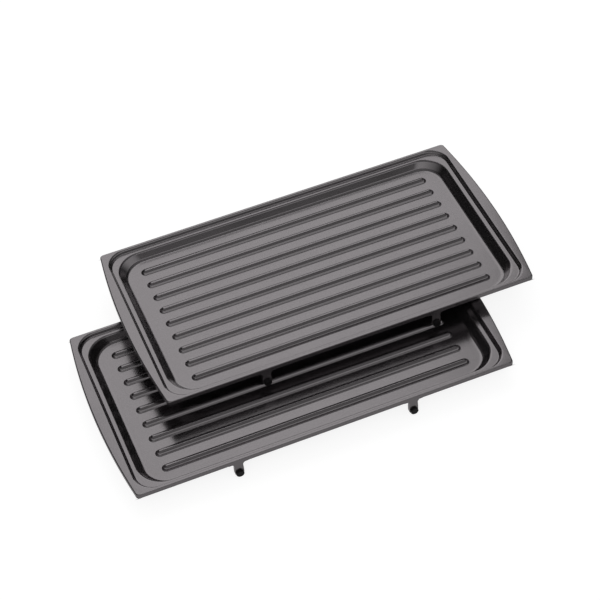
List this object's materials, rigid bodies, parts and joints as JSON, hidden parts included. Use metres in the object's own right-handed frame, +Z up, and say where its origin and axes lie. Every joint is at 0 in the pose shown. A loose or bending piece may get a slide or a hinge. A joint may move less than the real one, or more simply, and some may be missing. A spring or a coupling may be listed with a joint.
{
  "type": "panini press grill plates",
  "caption": "Pair of ribbed, rectangular, non-stick grill plates with lugs and locating studs, stacked with the upper one shifted and free to lift off.",
  "frame": {"origin": "middle of the stack's box, on the surface that the lower plate's lugs stand on", "axes": "+X along the ribs, the long way; +Y towards the back, the way the upper plate is shifted; +Z up"},
  "size_m": [0.347, 0.2232, 0.0317],
  "materials": {
    "nonstick_coated_aluminium": "dark grey non-stick coating, satin, on cast aluminium",
    "blackened_steel": "black oxide, satin"
  },
  "bodies": {
    "lower": {"lower_plate": "nonstick_coated_aluminium", "lower_stud_front_left": "blackened_steel", "lower_stud_rear_left": "blackened_steel", "lower_stud_front_right": "blackened_steel", "lower_stud_rear_right": "blackened_steel"},
    "upper": {"upper_plate": "nonstick_coated_aluminium", "upper_stud_front_left": "blackened_steel", "upper_stud_rear_left": "blackened_steel", "upper_stud_front_right": "blackened_steel", "upper_stud_rear_right": "blackened_steel"}
  },
  "joints": [
    {"name": "upper_plate_lift", "type": "slide", "parent": "lower", "child": "upper", "axis": [0, 0, 1], "range_m": [0, 0.08]}
  ]
}
